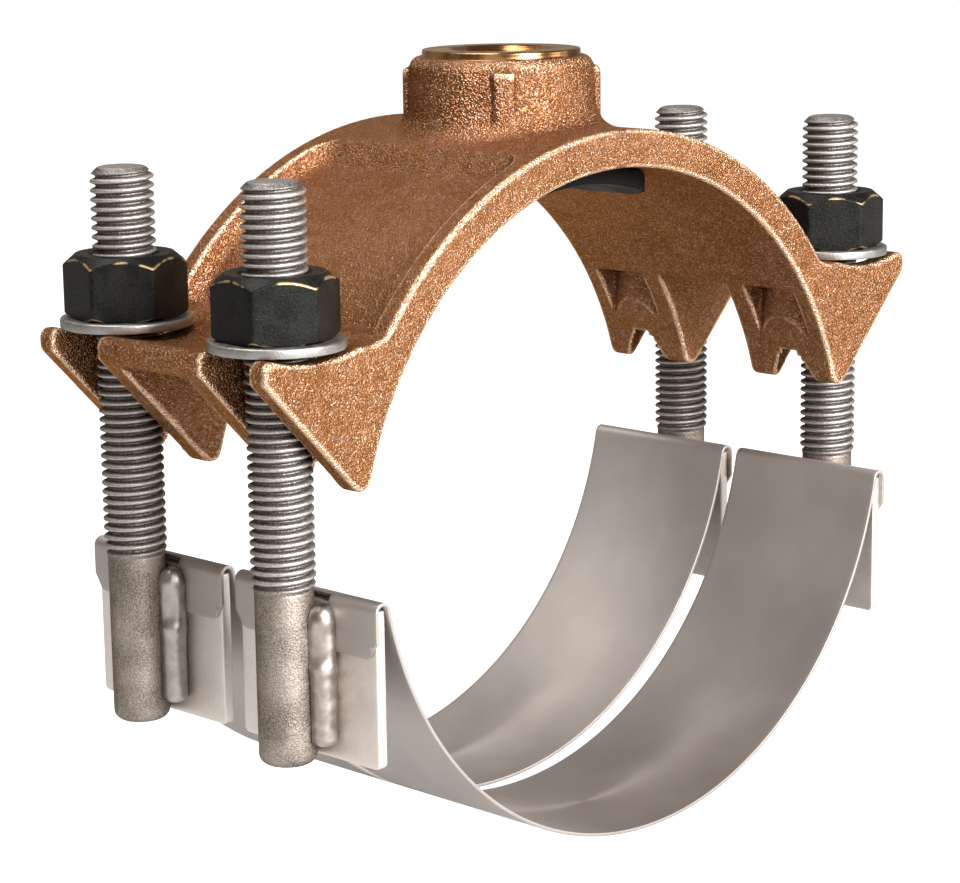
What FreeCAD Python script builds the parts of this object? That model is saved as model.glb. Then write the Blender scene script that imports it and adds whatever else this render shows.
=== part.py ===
import FreeCAD, Part
import math
import os
import Sketcher
from FreeCAD import Placement, Rotation, Vector

# Service saddle for a water main: a bronze casting sits on the pipe with a rubber gasket
# under its threaded outlet, and two stainless bands draw it down. Each band is a strap folded
# over two lug plates, with a threaded stud welded to each plate. The studs stand in the open
# slots of the casting's pads and carry a washer and a heavy hexagon nut.
#
# The frame: X across the pipe, Y along the pipe, Z up through the outlet, origin on the axis
# of the clamped pipe at the casting's mid-length. The casting's arch is larger than the pipe,
# so the arch has an axis of its own, and the casting's heights are measured from that axis.

doc = FreeCAD.newDocument("service_saddle")
sheet = doc.addObject("Spreadsheet::Sheet", "size")

SIZES = (
    ("pipe_radius", 84.15, "outside radius of the clamped pipe"),
    ("arch_radius", 95.0, "inside radius of the casting's arch"),
    ("arch_wall", 10.0, "radial thickness of the arch at its two rims"),
    ("cast_length", 85.0, "length of the casting along the pipe"),
    ("outer_fin", 5.75, "thickness of the rims and of the outer fins below them"),
    ("inner_fin", 7.0, "thickness of the two inner fins on each side"),
    ("panel_depth", 5.0, "depth of the panels between the rims"),
    ("panel_top", 30.0, "distance of a panel's upper end from the outlet's axis"),
    ("panel_slope", 4.0, "run of the sloped wall at a panel's upper end"),
    ("panel_round", 3.0, "radius along the foot of a panel's walls"),
    ("panel_corner", 6.0, "radius of a panel's two upper corners"),
    ("pad_root", 61.9, "height of the pads where they leave the arch"),
    ("pad_seat", 60.6, "height of the washer seat on the pads"),
    ("pad_thick", 7.0, "thickness of the pad between the inner fins"),
    ("pad_reach", 16.8, "reach of the pads past the stud axes"),
    ("pad_round", 2.5, "radius on the outer edges of the pads"),
    ("seat_margin", 1.0, "flat of the seat past the washer, towards the arch"),
    ("cup_width", 27.6, "width of the hollow across the washer seat"),
    ("cup_radius", 50.0, "radius of the hollow across the washer seat"),
    ("fin_end", 55.2, "height at which the fins' sloped edge meets the pad's end"),
    ("fin_tip", 22.4, "height of the fins' tips before they are rounded"),
    ("tip_round", 3.2, "radius of the fins' tips"),
    ("edge_round", 0.9, "radius on the outline of the casting's two end faces"),
    ("stud_pitch", 56.0, "distance between the two bands' studs along the pipe"),
    ("stud_stand", 12.2, "distance of the stud axes outside the arch's inner face"),
    ("slot_width", 17.5, "width of the stud slots"),
    ("slot_travel", 9.7, "room for a stud to swing inwards in its slot"),
    ("slot_wall", 4.9, "thickness of the wall round the slot's inner end"),
    ("boss_rise", 17.7, "height of the cast outlet boss above the rims"),
    ("boss_base", 25.2, "radius of the boss at its foot"),
    ("boss_top", 24.4, "radius of the boss at its shoulder"),
    ("boss_blend", 8.0, "radius where the boss runs into the arch"),
    ("boss_shoulder", 3.0, "radius on the boss's shoulder"),
    ("boss_rib", 5.6, "width of the four ribs up the boss"),
    ("boss_rib_reach", 26.3, "radius to the outer face of the boss's ribs"),
    ("boss_rib_drop", 3.1, "drop of the ribs' upper ends below the boss's shoulder"),
    ("boss_rib_round", 1.2, "radius on the corners of the boss's ribs"),
    ("face_radius", 21.1, "radius of the machined face on the boss"),
    ("face_height", 1.8, "height of the machined face above the casting"),
    ("outlet_radius", 12.7, "radius of the outlet's thread"),
    ("outlet_chamfer", 1.4, "chamfer at the outlet's mouth"),
    ("gasket_thick", 5.0, "thickness of the gasket over the crown"),
    ("gasket_fit", 0.2, "room between the gasket and the arch"),
    ("gasket_width", 62.0, "width of the gasket across the pipe"),
    ("gasket_length", 60.0, "length of the gasket along the pipe"),
    ("gasket_corner", 12.0, "radius of the gasket's corners"),
    ("gasket_relief", 1.5, "room between the outlet's bore and the gasket's hole"),
    ("strap_width", 50.8, "width of the straps"),
    ("strap_thick", 0.9, "thickness of the straps"),
    ("strap_flare", 2.2, "run of the straps' free curve past the lug plates' inner faces"),
    ("strap_fit", 0.2, "room between the pipe and the straps"),
    ("flap_length", 11.8, "length of the strap's flap outside the lug plate"),
    ("flap_corner", 3.5, "cut across the flap's two lower corners"),
    ("flap_notch", 17.6, "width of the notch in the flap for the stud"),
    ("lug_thick", 3.0, "thickness of the lug plates"),
    ("lug_height", 39.3, "height of the lug plates"),
    ("lug_margin", 1.0, "set-back of the lug plates from the strap's edges"),
    ("lug_round", 1.6, "radius of the lug plates' lower corners"),
    ("stud_radius", 7.94, "outside radius of the studs' thread"),
    ("shank_radius", 7.2, "radius of the studs' plain shank"),
    ("stud_length", 142.0, "length of the studs"),
    ("shank_length", 42.7, "length of the studs' plain shank, up to the thread's run-out"),
    ("stud_overhang", 1.0, "length of stud below the lug plate"),
    ("stud_chamfer", 1.7, "chamfer at the studs' threaded end"),
    ("stud_round", 2.6, "radius at the studs' plain end"),
    ("weld_radius", 3.7, "radius of the weld beads"),
    ("weld_rise", 2.9, "distance of a bead's middle from the lug plate"),
    ("weld_spread", 8.4, "distance of a bead's middle from the stud's axis plane"),
    ("weld_gap", 2.2, "distance of the beads' upper end from the thread's run-out"),
    ("weld_start", 3.6, "distance of the beads' lower end from the lug plate's foot"),
    ("weld_round", 1.6, "chamfer at the ends of the weld beads"),
    ("washer_radius", 16.65, "outside radius of the washers"),
    ("washer_hole", 8.35, "radius of the washers' hole"),
    ("washer_thick", 2.4, "thickness of the washers"),
    ("washer_edge", 0.5, "chamfer on the washers' outer edges"),
    ("nut_width", 27.0, "width of the nuts across their flats"),
    ("nut_height", 15.8, "height of the nuts"),
    ("nut_face", 25.9, "width of the flat ring on the nuts' upper face"),
    ("nut_chamfer", 2.2, "drop of the chamfer at the corners of the nuts' upper face"),
    ("thread_fit", 0.05, "radial room between the nuts and the studs"),
    ("seat_fit", 0.1, "room under the washers and under the nuts"),
    ("cut_past", 5.0, "how far a cut runs past the surface that it leaves"),
)

for row, (alias, value, meaning) in enumerate(SIZES, 1):
    sheet.set(f"A{row}", meaning)
    sheet.set(f"B{row}", str(value))
    sheet.setAlias(f"B{row}", alias)
doc.recompute()

# Expressions that several pieces share, in the sheet's own names.
ARCH_AXIS = "size.pipe_radius + size.gasket_thick + size.gasket_fit - size.arch_radius"
STUD_X = "size.arch_radius + size.stud_stand"
STUD_Y = "size.stud_pitch / 2"
RIM_RADIUS = "size.arch_radius + size.arch_wall"
CAST_END = "size.cast_length / 2"
BOSS_TOP = f"{RIM_RADIUS} + size.boss_rise"
LUG_OUTSIDE = f"({STUD_X} - size.shank_radius)"
LUG_INSIDE = f"({LUG_OUTSIDE} - size.lug_thick)"
STRAP_OUTSIDE = f"({LUG_INSIDE} + size.strap_flare)"
STRAP_RADIUS = f"({STRAP_OUTSIDE} - size.strap_thick)"
STRAP_AXIS = f"{STRAP_RADIUS} - size.pipe_radius - size.strap_fit"
FOLD_DROP = f"sqrt({STRAP_OUTSIDE}^2 - {LUG_INSIDE}^2)"
FOLD_HEIGHT = f"({STRAP_AXIS}) - {FOLD_DROP}"
LUG_FOOT = f"({FOLD_HEIGHT}) - size.lug_height"
FLAP_FOOT = f"({FOLD_HEIGHT}) - size.flap_length"
WASHER_SEAT = f"({ARCH_AXIS}) + size.pad_seat + size.seat_fit"
NUT_SEAT = f"{WASHER_SEAT} + size.washer_thick + size.seat_fit"

# A nut's corners stand at these turns about its stud, in degrees.
NUT_TURNS = {"front_left": 27.0, "rear_left": 18.0, "front_right": 14.0, "rear_right": 40.0}


def measure(expression):
    """Gives an expression's value in millimetres."""
    return float(sheet.evalExpression(expression))


def new_body(name):
    """Starts a named body and gives it back."""
    body = doc.addObject("PartDesign::Body", name)
    body.Label = name
    return body


def new_sketch(body, name, role, lift=None, turn=0.0):
    """Puts a sketch on one of the body's own origin planes, lifted and turned if wanted."""
    sketch = body.newObject("Sketcher::SketchObject", f"{body.Name}_{name}")
    plane = [item for item in body.Origin.OriginFeatures if item.Role == role][0]
    sketch.AttachmentSupport = [(plane, "")]
    sketch.MapMode = "FlatFace"
    sketch.AttachmentOffset = Placement(Vector(0, 0, 0), Rotation(Vector(0, 0, 1), turn))
    if lift:
        sketch.setExpression("AttachmentOffset.Base.z", lift)
    return sketch


def pin(sketch, kind, geometry, point, expression):
    """Ties a point's distance from the sketch's origin to the sheet."""
    value = measure(expression)
    index = sketch.addConstraint(Sketcher.Constraint(kind, -1, 1, geometry, point, value))
    sketch.setExpression(f"Constraints[{index}]", expression)


def outline(sketch, corners):
    """Draws a closed outline through the corners, each tied to the sheet.

    A corner is (x, y) for a straight edge to the next corner, or (x, y, radius, side) for an
    arc that bulges to the left (1) or to the right (-1) of the way to the next corner.
    """
    points = [Vector(measure(corner[0]), measure(corner[1]), 0) for corner in corners]
    edges = []
    for index, corner in enumerate(corners):
        start = points[index]
        end = points[(index + 1) % len(points)]
        if len(corner) == 2:
            geometry = sketch.addGeometry(Part.LineSegment(start, end))
        else:
            radius = measure(corner[2])
            chord = end - start
            normal = Vector(-chord.y, chord.x, 0).normalize() * corner[3]
            depth = math.sqrt(max(radius ** 2 - chord.Length ** 2 / 4, 0))
            through = (start + end) / 2 + normal * (radius - depth)
            geometry = sketch.addGeometry(Part.Arc(start, through, end))
        first = sketch.getPoint(geometry, 1)
        start_end = (1, 2) if first.distanceToPoint(start) < first.distanceToPoint(end) else (2, 1)
        edges.append((geometry, start_end))
    for index, corner in enumerate(corners):
        geometry, (start_point, end_point) = edges[index]
        before, (_, before_end) = edges[index - 1]
        sketch.addConstraint(Sketcher.Constraint("Coincident", before, before_end,
                                                 geometry, start_point))
        for kind, axis, expression in (("DistanceX", -2, corner[0]), ("DistanceY", -1, corner[1])):
            if expression == "0":
                sketch.addConstraint(Sketcher.Constraint("PointOnObject", geometry,
                                                         start_point, axis))
            else:
                pin(sketch, kind, geometry, start_point, expression)
        if len(corner) == 4:
            radius = sketch.addConstraint(Sketcher.Constraint("Radius", geometry,
                                                              measure(corner[2])))
            sketch.setExpression(f"Constraints[{radius}]", corner[2])


def circle(sketch, radius, x="0", y="0"):
    """Draws a circle with its radius and middle tied to the sheet."""
    middle = Vector(measure(x), measure(y), 0)
    geometry = sketch.addGeometry(Part.Circle(middle, Vector(0, 0, 1), measure(radius)))
    index = sketch.addConstraint(Sketcher.Constraint("Radius", geometry, measure(radius)))
    sketch.setExpression(f"Constraints[{index}]", radius)
    for kind, axis, expression in (("DistanceX", -2, x), ("DistanceY", -1, y)):
        if expression == "0":
            sketch.addConstraint(Sketcher.Constraint("PointOnObject", geometry, 3, axis))
        else:
            pin(sketch, kind, geometry, 3, expression)


def rectangle(sketch, left, right, low, high):
    """Draws a rectangle between two widths and two heights."""
    outline(sketch, [(left, low), (right, low), (right, high), (left, high)])


def feature(body, kind, name, profile, **bound):
    """Adds a sketch-based feature; every keyword is a property tied to the sheet."""
    made = body.newObject(f"PartDesign::{kind}", f"{body.Name}_{name}")
    made.Profile = profile
    for prop, expression in bound.items():
        made.setExpression(prop, expression)
    profile.Visibility = False
    return made


def revolve(body, kind, name, profile):
    """Turns a profile on the XZ plane about the sketch's upright axis."""
    made = feature(body, kind, name, profile)
    made.ReferenceAxis = (profile, ["V_Axis"])
    made.Angle = 360
    return made


def edges_where(shape, wanted):
    """Names the edges whose middle point and direction there pass the test."""
    names = []
    for index, edge in enumerate(shape.Edges, 1):
        middle = (edge.FirstParameter + edge.LastParameter) / 2
        if wanted(edge.valueAt(middle), edge.tangentAt(middle), edge):
            names.append(f"Edge{index}")
    return names


def dress(body, kind, name, wanted, size):
    """Rounds or chamfers the edges of the body's last feature that pass the test."""
    doc.recompute()
    base = body.Tip
    names = edges_where(base.Shape, wanted)
    if not names:
        raise ValueError(f"{body.Label}: no edge for {name}")
    made = body.newObject(f"PartDesign::{kind}", f"{body.Name}_{name}")
    made.Base = (base, names)
    made.setExpression("Radius" if kind == "Fillet" else "Size", size)
    return made


SAME_PLACE = 0.02
SAME_WAY = 1e-4


def near(first, second):
    """Tells whether two lengths are the same place."""
    return abs(first - second) < SAME_PLACE


def along(direction, axis):
    """Tells whether a direction runs along an axis of the frame."""
    return abs(abs(direction.dot(axis)) - 1) < SAME_WAY


X_AXIS = Vector(1, 0, 0)
Y_AXIS = Vector(0, 1, 0)
Z_AXIS = Vector(0, 0, 1)
SIDES = (("left", -1), ("right", 1))
BANDS = (("front", -1), ("rear", 1))


def both_sides(corners):
    """Gives corners on the +X side followed by their mirror images, as one closed run."""
    mirrored = [(f"-({corner[0]})", corner[1]) for corner in reversed(corners)]
    arcs = [corner[2:] for corner in corners[:-1]]
    for index, arc in enumerate(reversed(arcs)):
        mirrored[index] = mirrored[index] + arc
    return list(corners), mirrored


# Saddle body: one bronze sand casting. The arch, the two pads and the fins under them are one
# profile along the pipe; the fins, slots and panels are then cut out of it.
def make_saddle_body():
    body = new_body("saddle_body")
    body.setExpression("Placement.Base.z", ARCH_AXIS)

    tip_x = "sqrt(size.arch_radius^2 - size.fin_tip^2)"
    pad_end = f"{STUD_X} + size.pad_reach"
    root_x = f"sqrt(({RIM_RADIUS})^2 - size.pad_root^2)"
    cup = ("size.cup_radius", 1)
    right, left = both_sides([
        (tip_x, "size.fin_tip"),
        (pad_end, "size.fin_end"),
        (pad_end, "size.pad_seat"),
        (f"{STUD_X} + size.cup_width / 2", "size.pad_seat") + cup,
        (f"{STUD_X} - size.cup_width / 2", "size.pad_seat"),
        (f"{STUD_X} - size.washer_radius - size.seat_margin", "size.pad_seat"),
        (root_x, "size.pad_root"),
    ])
    right[-1] = right[-1] + (RIM_RADIUS, -1)
    left[-1] = left[-1] + ("size.arch_radius", 1)
    profile = new_sketch(body, "profile", "XZ_Plane")
    outline(profile, right + left)
    arch = feature(body, "Pad", "arch", profile, Length="size.cast_length")
    arch.SideType = "Symmetric"

    tip = measure(tip_x)
    end = measure(pad_end)
    root = measure(root_x)
    dress(body, "Fillet", "tips", lambda p, d, e: along(d, Y_AXIS) and near(abs(p.x), tip),
          "size.tip_round")
    dress(body, "Fillet", "ends", lambda p, d, e: along(d, Y_AXIS) and near(abs(p.x), end),
          "size.pad_round")
    dress(body, "Fillet", "roots", lambda p, d, e: along(d, Y_AXIS) and near(abs(p.x), root),
          "size.pad_round")
    face = measure(CAST_END)
    dress(body, "Fillet", "outline", lambda p, d, e: near(abs(p.y), face), "size.edge_round")

    # The boss is turned about the outlet's axis, from inside the arch's wall upwards.
    foot = "size.arch_radius + size.arch_wall / 2"
    boss_profile = new_sketch(body, "boss_profile", "XZ_Plane")
    outline(boss_profile, [
        ("size.outlet_radius", foot),
        ("size.boss_base", foot),
        ("size.boss_top", BOSS_TOP),
        ("size.face_radius", BOSS_TOP),
        ("size.face_radius", f"{BOSS_TOP} + size.face_height"),
        ("size.outlet_radius", f"{BOSS_TOP} + size.face_height"),
    ])
    revolve(body, "Revolution", "boss", boss_profile)
    boss_radius = measure("size.boss_base")
    crown = measure(RIM_RADIUS)
    boss_top = measure(BOSS_TOP)
    shoulder = measure("size.boss_top")
    dress(body, "Fillet", "blend",
          lambda p, d, e: (crown - boss_radius < p.z < crown
                           and shoulder < math.hypot(p.x, p.y) < boss_radius),
          "size.boss_blend")
    dress(body, "Fillet", "shoulder",
          lambda p, d, e: near(p.z, boss_top) and near(math.hypot(p.x, p.y), shoulder),
          "size.boss_shoulder")

    # Four ribs run up the boss, halfway between the frame's axes.
    rib_sketch = new_sketch(body, "rib_profile", "XY_Plane", foot, 45.0)
    rectangle(rib_sketch, "size.boss_top - size.boss_shoulder", "size.boss_rib_reach",
              "-size.boss_rib / 2", "size.boss_rib / 2")
    rib_height = f"{BOSS_TOP} - size.boss_rib_drop - ({foot})"
    feature(body, "Pad", "rib", rib_sketch, Length=rib_height)
    rib = body.Tip
    ribs = body.newObject("PartDesign::PolarPattern", "saddle_body_ribs")
    ribs.Originals = [rib]
    ribs.Axis = (rib_sketch, ["N_Axis"])
    ribs.Angle = 360
    ribs.Occurrences = 4
    body.Tip = ribs
    rib_reach = measure("size.boss_rib_reach")
    rib_top = measure(f"{BOSS_TOP} - size.boss_rib_drop")
    rib_width = measure("size.boss_rib")
    dress(body, "Fillet", "rib_edges",
          lambda p, d, e: (math.hypot(p.x, p.y) > rib_reach - SAME_PLACE
                           and crown < p.z < rib_top + SAME_PLACE
                           and abs(abs(p.x) - abs(p.y)) < rib_width),
          "size.boss_rib_round")

    # A panel is sunk between the rims on each side of the boss, down to the pads.
    floor = "size.arch_radius + size.arch_wall - size.panel_depth"
    sky = f"{RIM_RADIUS} + size.panel_depth"
    foot_x = f"sqrt(({floor})^2 - size.pad_root^2)"
    sky_x = f"sqrt(({sky})^2 - size.pad_root^2)"
    panel_sketch = new_sketch(body, "panel_profile", "XZ_Plane")
    for name, side in SIDES:
        outline(panel_sketch, [
            (f"{side} * {foot_x}", "size.pad_root", floor, -side),
            (f"{side} * (size.panel_top + size.panel_slope)",
             f"sqrt(({floor})^2 - (size.panel_top + size.panel_slope)^2)"),
            (f"{side} * (size.panel_top - size.panel_slope)",
             f"sqrt(({sky})^2 - (size.panel_top - size.panel_slope)^2)", sky, side),
            (f"{side} * {sky_x}", "size.pad_root"),
        ])
    panels = feature(body, "Pocket", "panels", panel_sketch,
                     Length="size.cast_length - 2 * size.outer_fin")
    panels.SideType = "Symmetric"
    wall = measure(f"{CAST_END} - size.outer_fin")
    floor_radius = measure(floor)
    rim_radius = measure(RIM_RADIUS)
    top = measure("size.panel_top")
    slope = measure("size.panel_slope")
    pad_root = measure("size.pad_root")
    dress(body, "Fillet", "panel_corners",
          lambda p, d, e: (near(abs(p.y), wall) and abs(abs(p.x) - top) < slope
                           and floor_radius < math.hypot(p.x, p.z) < rim_radius),
          "size.panel_corner")
    dress(body, "Fillet", "panel_feet",
          lambda p, d, e: (near(math.hypot(p.x, p.z), floor_radius) and abs(p.x) > top
                           and p.z > pad_root + slope and abs(p.y) < wall + slope),
          "size.panel_round")

    # Under each pad the space between the fins is open, up to the pad's underside.
    under = "size.pad_seat - size.pad_thick"
    inner_wall = f"{STUD_Y} - size.slot_width / 2 - size.inner_fin"
    gap_sketch = new_sketch(body, "gap_profile", "XZ_Plane")
    for name, side in SIDES:
        outline(gap_sketch, [
            (f"{side} * size.arch_radius / 2", "0"),
            (f"{side} * ({pad_end} + size.cut_past)", "0"),
            (f"{side} * ({pad_end} + size.cut_past)", under),
            (f"{side} * size.arch_radius / 2", under),
        ])
    gap = feature(body, "Pocket", "gap", gap_sketch, Length=f"2 * ({inner_wall})")
    gap.SideType = "Symmetric"

    # A stud slot is open outwards; a wall bulges round its inner end, seen from the pipe.
    slot_end = f"{STUD_X} - size.slot_travel"
    bulge = "size.slot_width / 2 + size.slot_wall"
    meet = f"{slot_end} - sqrt(({bulge})^2 - (size.slot_width / 2)^2)"
    back_sketch = new_sketch(body, "back_profile", "XY_Plane")
    slot_sketch = new_sketch(body, "slot_profile", "XY_Plane")
    for side_name, side in SIDES:
        for band_name, band in BANDS:
            low = f"{band} * ({STUD_Y} - size.slot_width / 2)"
            high = f"{band} * ({STUD_Y} + size.slot_width / 2)"
            outline(back_sketch, [
                (f"{side} * size.arch_radius / 2", low),
                (f"{side} * ({meet})", low, bulge, side * band),
                (f"{side} * ({meet})", high),
                (f"{side} * size.arch_radius / 2", high),
            ])
            outline(slot_sketch, [
                (f"{side} * ({pad_end} + size.cut_past)", low),
                (f"{side} * ({slot_end})", low, "size.slot_width / 2", side * band),
                (f"{side} * ({slot_end} - size.slot_width / 2)", f"{band} * {STUD_Y}",
                 "size.slot_width / 2", side * band),
                (f"{side} * ({slot_end})", high),
                (f"{side} * ({pad_end} + size.cut_past)", high),
            ])
    back = feature(body, "Pocket", "backs", back_sketch, Length=under)
    back.Reversed = True
    slots = feature(body, "Pocket", "slots", slot_sketch)
    slots.Type = "ThroughAll"
    slots.Reversed = True

    bore_sketch = new_sketch(body, "bore_profile", "XY_Plane")
    circle(bore_sketch, "size.outlet_radius")
    bore = feature(body, "Pocket", "bore", bore_sketch)
    bore.Type = "ThroughAll"
    bore.Reversed = True
    mouth = measure(f"{BOSS_TOP} + size.face_height")
    bore_radius = measure("size.outlet_radius")
    dress(body, "Chamfer", "mouth",
          lambda p, d, e: near(p.z, mouth) and near(math.hypot(p.x, p.y), bore_radius),
          "size.outlet_chamfer")
    return body


# Outlet gasket: a moulded rubber pad between the arch and the pipe, with a hole for the tap.
def make_outlet_gasket():
    body = new_body("outlet_gasket")
    side_x = "size.gasket_width / 2"
    end_y = "size.gasket_length / 2"
    round_x = f"({side_x} - size.gasket_corner)"
    round_y = f"({end_y} - size.gasket_corner)"
    corner = ("size.gasket_corner", -1)
    plan = new_sketch(body, "plan", "XY_Plane")
    outline(plan, [
        (side_x, f"-{round_y}"), (side_x, round_y) + corner,
        (round_x, end_y), (f"-{round_x}", end_y) + corner,
        (f"-{side_x}", round_y), (f"-{side_x}", f"-{round_y}") + corner,
        (f"-{round_x}", f"-{end_y}"), (round_x, f"-{end_y}") + corner,
    ])
    feature(body, "Pad", "block", plan, Length="size.arch_radius")

    # The block is cut to the arch above and to the pipe below.
    back = "size.arch_radius - size.gasket_fit"
    reach = f"({side_x} + size.cut_past)"
    back_z = f"({ARCH_AXIS}) + sqrt(({back})^2 - ({reach})^2)"
    pipe_z = f"sqrt(size.pipe_radius^2 - ({reach})^2)"
    trim = new_sketch(body, "trim_profile", "XZ_Plane")
    outline(trim, [
        (reach, back_z, back, -1), (f"-{reach}", back_z),
        (f"-{reach}", "size.arch_radius + size.cut_past"),
        (reach, "size.arch_radius + size.cut_past"),
    ])
    outline(trim, [
        (f"-{reach}", "-size.cut_past"), (reach, "-size.cut_past"),
        (reach, pipe_z, "size.pipe_radius", -1), (f"-{reach}", pipe_z),
    ])
    faces = feature(body, "Pocket", "faces", trim, Length="size.gasket_length + size.cut_past")
    faces.SideType = "Symmetric"
    hole_sketch = new_sketch(body, "hole_profile", "XY_Plane")
    circle(hole_sketch, "size.outlet_radius + size.gasket_relief")
    hole = feature(body, "Pocket", "hole", hole_sketch)
    hole.Type = "ThroughAll"
    hole.Reversed = True
    return body


# Strap: a stainless strip bent to one free curve. Each end folds out over the top of a lug
# plate and comes down its outer face as a short flap, notched where the stud stands.
def make_strap(name, band):
    body = new_body(name)
    body.setExpression("Placement.Base.y", f"{band} * {STUD_Y}")
    fold = FOLD_HEIGHT
    mid = f"{LUG_INSIDE} + size.lug_thick / 2"
    outer = "size.lug_thick / 2 + size.strap_thick"
    inside_x = f"sqrt({STRAP_RADIUS}^2 - ({FOLD_DROP})^2)"
    right, left = both_sides([
        (LUG_INSIDE, fold, "size.lug_thick / 2", 1),
        (mid, f"{fold} + size.lug_thick / 2", "size.lug_thick / 2", 1),
        (LUG_OUTSIDE, fold),
        (LUG_OUTSIDE, FLAP_FOOT),
        (f"{mid} + {outer}", FLAP_FOOT),
        (f"{mid} + {outer}", fold, outer, -1),
        (mid, f"{fold} + {outer}", outer, -1),
        (inside_x, fold),
    ])
    right[-1] = right[-1] + (STRAP_RADIUS, 1)
    left[-1] = left[-1] + (STRAP_OUTSIDE, -1)
    sketch = new_sketch(body, "profile", "XZ_Plane")
    outline(sketch, right + left)
    strip = feature(body, "Pad", "strip", sketch, Length="size.strap_width")
    strip.SideType = "Symmetric"

    low = f"{FLAP_FOOT} - size.cut_past"
    high = f"{fold} + {outer} + size.cut_past"
    notch_sketch = new_sketch(body, "notch_profile", "XZ_Plane")
    for side_name, side in SIDES:
        outline(notch_sketch, [
            (f"{side} * {LUG_OUTSIDE}", low),
            (f"{side} * ({mid} + {outer} + size.cut_past)", low),
            (f"{side} * ({mid} + {outer} + size.cut_past)", high),
            (f"{side} * {LUG_OUTSIDE}", high),
        ])
    notch = feature(body, "Pocket", "notches", notch_sketch, Length="size.flap_notch")
    notch.SideType = "Symmetric"
    flap_x = measure(f"{LUG_OUTSIDE} + size.strap_thick / 2")
    flap_z = measure(FLAP_FOOT)
    half = measure("size.strap_width / 2")
    dress(body, "Chamfer", "flap_corners",
          lambda p, d, e: (near(abs(p.x), flap_x) and near(p.z, flap_z)
                           and near(abs(p.y), half) and along(d, X_AXIS)),
          "size.flap_corner")
    return body


# Lug plate: a flat stainless plate in the fold of the strap, which the stud is welded to.
def make_lug(name, side, band):
    body = new_body(name)
    body.setExpression("Placement.Base.x", f"{side} * ({LUG_INSIDE} + size.lug_thick / 2)")
    body.setExpression("Placement.Base.y", f"{band} * {STUD_Y}")
    sketch = new_sketch(body, "profile", "YZ_Plane")
    half = "size.strap_width / 2 - size.lug_margin"
    rectangle(sketch, f"-({half})", half, LUG_FOOT, FOLD_HEIGHT)
    plate = feature(body, "Pad", "plate", sketch, Length="size.lug_thick")
    plate.SideType = "Symmetric"
    foot = measure(LUG_FOOT)
    dress(body, "Fillet", "corners", lambda p, d, e: near(p.z, foot) and along(d, X_AXIS),
          "size.lug_round")
    return body


# Stud: a bar with a rolled thread, drawn as a plain cylinder of the thread's outside radius,
# and a plain shank that is welded to the lug plate.
def make_stud(name, side, band):
    body = new_body(name)
    body.setExpression("Placement.Base.x", f"{side} * ({STUD_X})")
    body.setExpression("Placement.Base.y", f"{band} * {STUD_Y}")
    low = f"({LUG_FOOT}) - size.stud_overhang"
    top = f"{low} + size.stud_length"
    run_out = f"{low} + size.shank_length"
    sketch = new_sketch(body, "profile", "XZ_Plane")
    outline(sketch, [
        ("0", low),
        ("size.shank_radius - size.stud_round", low, "size.stud_round", -1),
        ("size.shank_radius", f"{low} + size.stud_round"),
        ("size.shank_radius", run_out),
        ("size.stud_radius", f"{run_out} + size.stud_radius - size.shank_radius"),
        ("size.stud_radius", f"{top} - size.stud_chamfer"),
        ("size.stud_radius - size.stud_chamfer", top),
        ("0", top),
    ])
    revolve(body, "Revolution", "bar", sketch)
    return body


# Weld beads: one down each side of a stud's shank, filling the nook against the lug plate.
def make_weld(name, side, band):
    body = new_body(name)
    body.setExpression("Placement.Base.x", f"{side} * ({STUD_X})")
    body.setExpression("Placement.Base.y", f"{band} * {STUD_Y}")
    foot = f"({LUG_FOOT}) + size.weld_start"
    length = "(size.shank_length - size.stud_overhang - size.weld_start - size.weld_gap)"
    bead_x = f"{side} * (size.weld_rise - size.shank_radius)"
    beads_sketch = new_sketch(body, "bead_profile", "XY_Plane", foot)
    body.AllowCompound = True
    for turn in (-1, 1):
        circle(beads_sketch, "size.weld_radius", bead_x, f"{turn} * size.weld_spread")
    feature(body, "Pad", "beads", beads_sketch, Length=length)
    low = measure(foot)
    high = measure(f"{foot} + {length}")
    dress(body, "Chamfer", "ends", lambda p, d, e: near(p.z, low) or near(p.z, high),
          "size.weld_round")
    nook_sketch = new_sketch(body, "nook_profile", "XY_Plane", foot)
    circle(nook_sketch, "size.shank_radius")
    nook = feature(body, "Pocket", "nook", nook_sketch)
    nook.Type = "ThroughAll"
    nook.Reversed = True
    plate_sketch = new_sketch(body, "plate_profile", "XY_Plane", foot)
    rectangle(plate_sketch, f"-{side} * size.shank_radius",
              f"-{side} * 2 * size.shank_radius", "-2 * size.weld_spread",
              "2 * size.weld_spread")
    plate = feature(body, "Pocket", "plate", plate_sketch)
    plate.Type = "ThroughAll"
    plate.Reversed = True

    # The upper end of a bead lies on the strap's flap.
    flap_sketch = new_sketch(body, "flap_profile", "XY_Plane", FLAP_FOOT)
    for turn in (-1, 1):
        rectangle(flap_sketch, f"-{side} * (size.shank_radius - size.strap_thick)",
                  f"-{side} * 2 * size.shank_radius", f"{turn} * size.flap_notch / 2",
                  f"{turn} * 2 * size.weld_spread")
    flap = feature(body, "Pocket", "flap", flap_sketch)
    flap.Type = "ThroughAll"
    flap.Reversed = True
    return body


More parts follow.
